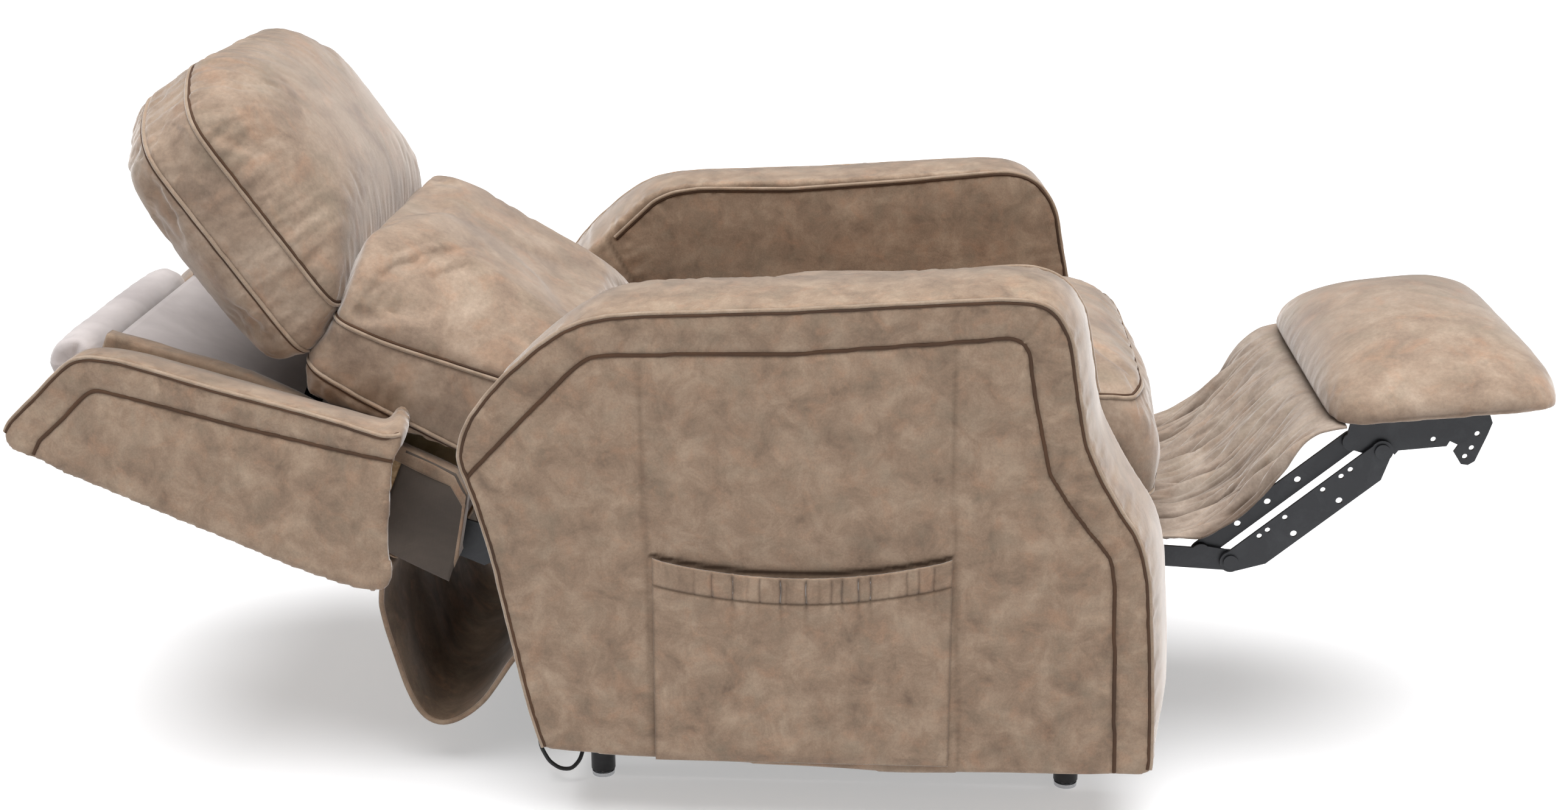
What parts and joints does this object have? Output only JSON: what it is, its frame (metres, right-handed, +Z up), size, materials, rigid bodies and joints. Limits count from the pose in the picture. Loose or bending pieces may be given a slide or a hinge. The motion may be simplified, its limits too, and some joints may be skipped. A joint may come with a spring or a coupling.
{
  "type": "lift recliner chair",
  "caption": "Upholstered lift recliner on a steel floor frame, laid back with its leg rest out, its head section tipped forward and a pocket on each side",
  "frame": {"origin": "on the floor, under the middle of the laid-back chair's length and on its middle plane", "axes": "+X to the front of the chair, +Y to the sitter's left, +Z up"},
  "size_m": [1.8349, 0.802, 0.8702],
  "materials": {
    "black_steel": "satin black paint",
    "foot_black": "matt black",
    "bright_steel": "zinc plated",
    "spring_steel": "oiled spring steel",
    "motor_plastic": "fine textured",
    "lead_rubber": "smooth",
    "frame_wood": "raw plywood",
    "suede_arms": "mottled faux suede",
    "suede_cushion": "mottled faux suede",
    "suede_cloth": "thin faux suede",
    "lining_cloth": "smooth lining",
    "dust_cloth": "woven dust cloth",
    "foam": "open cell foam"
  },
  "bodies": {
    "base": {"floor_rails": "black_steel", "floor_cross_tubes": "black_steel", "foot_posts": "foot_black", "foot_glides": "bright_steel", "lift_base_ears": "black_steel", "power_unit": "motor_plastic"},
    "rear_lift_link": {"rear_lift_arms": "black_steel", "lift_shaft": "black_steel"},
    "front_lift_link": {"front_lift_arms": "black_steel"},
    "lift_motor_body": {"lift_motor": "motor_plastic"},
    "lift_motor_rod": {"lift_rod": "bright_steel"},
    "chair": {"mechanism_side_plates": "black_steel", "mechanism_cross_tubes": "black_steel", "pivot_pins": "bright_steel", "front_rail": "frame_wood", "rear_seat_rail": "frame_wood", "rear_rail": "frame_wood", "seat_springs": "spring_steel", "seat_cushion": "suede_cushion", "right_arm_board": "frame_wood", "left_arm_board": "frame_wood", "right_arm_cover": "suede_arms", "left_arm_cover": "suede_arms", "side_pockets": "suede_arms", "lead_clips": "motor_plastic", "motor_lead": "lead_rubber", "rear_flap": "suede_cloth", "calf_gusset": "suede_cloth"},
    "back": {"back_side_boards": "frame_wood", "back_cross_rails": "frame_wood", "back_brackets": "black_steel", "back_lever": "black_steel", "back_webbing": "dust_cloth", "back_lining": "lining_cloth", "back_cover": "suede_arms", "right_wing": "suede_arms", "left_wing": "suede_arms", "top_rail_pad": "lining_cloth", "side_dust_cloths": "dust_cloth", "lumbar_foam": "foam", "lumbar_cushion": "suede_cushion", "head_brackets": "black_steel"},
    "head": {"head_arms": "black_steel", "head_board": "frame_wood", "head_cushion": "suede_cushion"},
    "back_motor_body": {"back_motor": "motor_plastic"},
    "back_motor_rod": {"back_rod": "bright_steel"},
    "leg_motor_body": {"leg_motor": "motor_plastic"},
    "leg_motor_rod": {"leg_rod": "bright_steel"},
    "leg_crank": {"leg_torque_shaft": "black_steel", "leg_cranks": "black_steel", "crank_rivets": "bright_steel"},
    "lower_link": {"lower_links": "black_steel"},
    "upper_link": {"upper_links": "black_steel"},
    "leg_rest": {"ankle_rivets": "bright_steel", "pad_brackets": "black_steel", "pad_board": "frame_wood", "leg_pad": "suede_cushion"}
  },
  "joints": [
    {"name": "lift", "type": "hinge", "parent": "base", "child": "rear_lift_link", "pos_m": [0.12101, 0, 0.065], "axis": [0, 1, 0], "range_deg": [0, 64]},
    {"name": "lift_body", "type": "hinge", "parent": "rear_lift_link", "child": "chair", "pos_m": [-0.20578, 0, 0.11093], "axis": [0, 1, 0], "range_deg": [-40.1, 0.1]},
    {"name": "lift_front_link", "type": "hinge", "parent": "base", "child": "front_lift_link", "pos_m": [0.29501, 0, 0.065], "axis": [0, 1, 0], "range_deg": [-0.1, 77]},
    {"name": "lift_motor_swing", "type": "hinge", "parent": "base", "child": "lift_motor_body", "pos_m": [-0.21899, 0, 0.096], "axis": [0, 1, 0], "range_deg": [-2.2, 0.1]},
    {"name": "lift_motor_stroke", "type": "slide", "parent": "lift_motor_body", "child": "lift_motor_rod", "axis": [0.9985, 0, 0.0549], "range_m": [-0.0005, 0.066]},
    {"name": "recline", "type": "hinge", "parent": "chair", "child": "back", "pos_m": [-0.239, 0, 0.392], "axis": [0, 1, 0], "range_deg": [0, 55], "deforming": ["rear_flap"]},
    {"name": "head_tilt", "type": "hinge", "parent": "back", "child": "head", "pos_m": [-0.55739, 0, 0.52486], "axis": [0, 1, 0], "range_deg": [-32, 0]},
    {"name": "back_motor_swing", "type": "hinge", "parent": "chair", "child": "back_motor_body", "pos_m": [0.081, 0, 0.29], "axis": [0, 1, 0], "range_deg": [-0.1, 2.8]},
    {"name": "back_motor_stroke", "type": "slide", "parent": "back_motor_body", "child": "back_motor_rod", "axis": [-0.9949, 0, 0.1008], "range_m": [-0.0005, 0.0645]},
    {"name": "leg_rest_fold", "type": "hinge", "parent": "chair", "child": "leg_crank", "pos_m": [0.331, 0, 0.3], "axis": [0, 1, 0], "range_deg": [0, 96.6], "deforming": ["calf_gusset"]},
    {"name": "leg_lower_link", "type": "hinge", "parent": "leg_crank", "child": "lower_link", "pos_m": [0.541, 0, 0.289], "axis": [0, 1, 0], "range_deg": [-129, 0.1]},
    {"name": "leg_upper_link", "type": "hinge", "parent": "leg_crank", "child": "upper_link", "pos_m": [0.50601, 0, 0.298], "axis": [0, 1, 0], "range_deg": [-129, 0.1]},
    {"name": "leg_pad_turn", "type": "hinge", "parent": "lower_link", "child": "leg_rest", "pos_m": [0.71, 0, 0.433], "axis": [0, 1, 0], "range_deg": [-0.1, 129]},
    {"name": "leg_motor_swing", "type": "hinge", "parent": "chair", "child": "leg_motor_body", "pos_m": [0.081, 0, 0.3], "axis": [0, 1, 0], "range_deg": [-0.1, 4.1]},
    {"name": "leg_motor_stroke", "type": "slide", "parent": "leg_motor_body", "child": "leg_motor_rod", "axis": [0.9941, 0, -0.1089], "range_m": [-0.067, 0.0005]}
  ],
  "couplings": [
    {"joint": "lift_body", "follows": "lift", "ratio": -0.625},
    {"joint": "lift_front_link", "follows": "lift", "ratio": 1.2016},
    {"joint": "lift_motor_swing", "follows": "lift", "ratio": -0.03022},
    {"joint": "lift_motor_stroke", "follows": "lift", "m_per_rad": 0.05794},
    {"joint": "back_motor_swing", "follows": "recline", "ratio": 0.04319},
    {"joint": "back_motor_stroke", "follows": "recline", "m_per_rad": 0.06608},
    {"joint": "leg_lower_link", "follows": "leg_rest_fold", "ratio": -1.3341},
    {"joint": "leg_upper_link", "follows": "leg_rest_fold", "ratio": -1.3341},
    {"joint": "leg_pad_turn", "follows": "leg_rest_fold", "ratio": 1.3341},
    {"joint": "leg_motor_swing", "follows": "leg_rest_fold", "ratio": 0.04113},
    {"joint": "leg_motor_stroke", "follows": "leg_rest_fold", "m_per_rad": -0.03914}
  ]
}
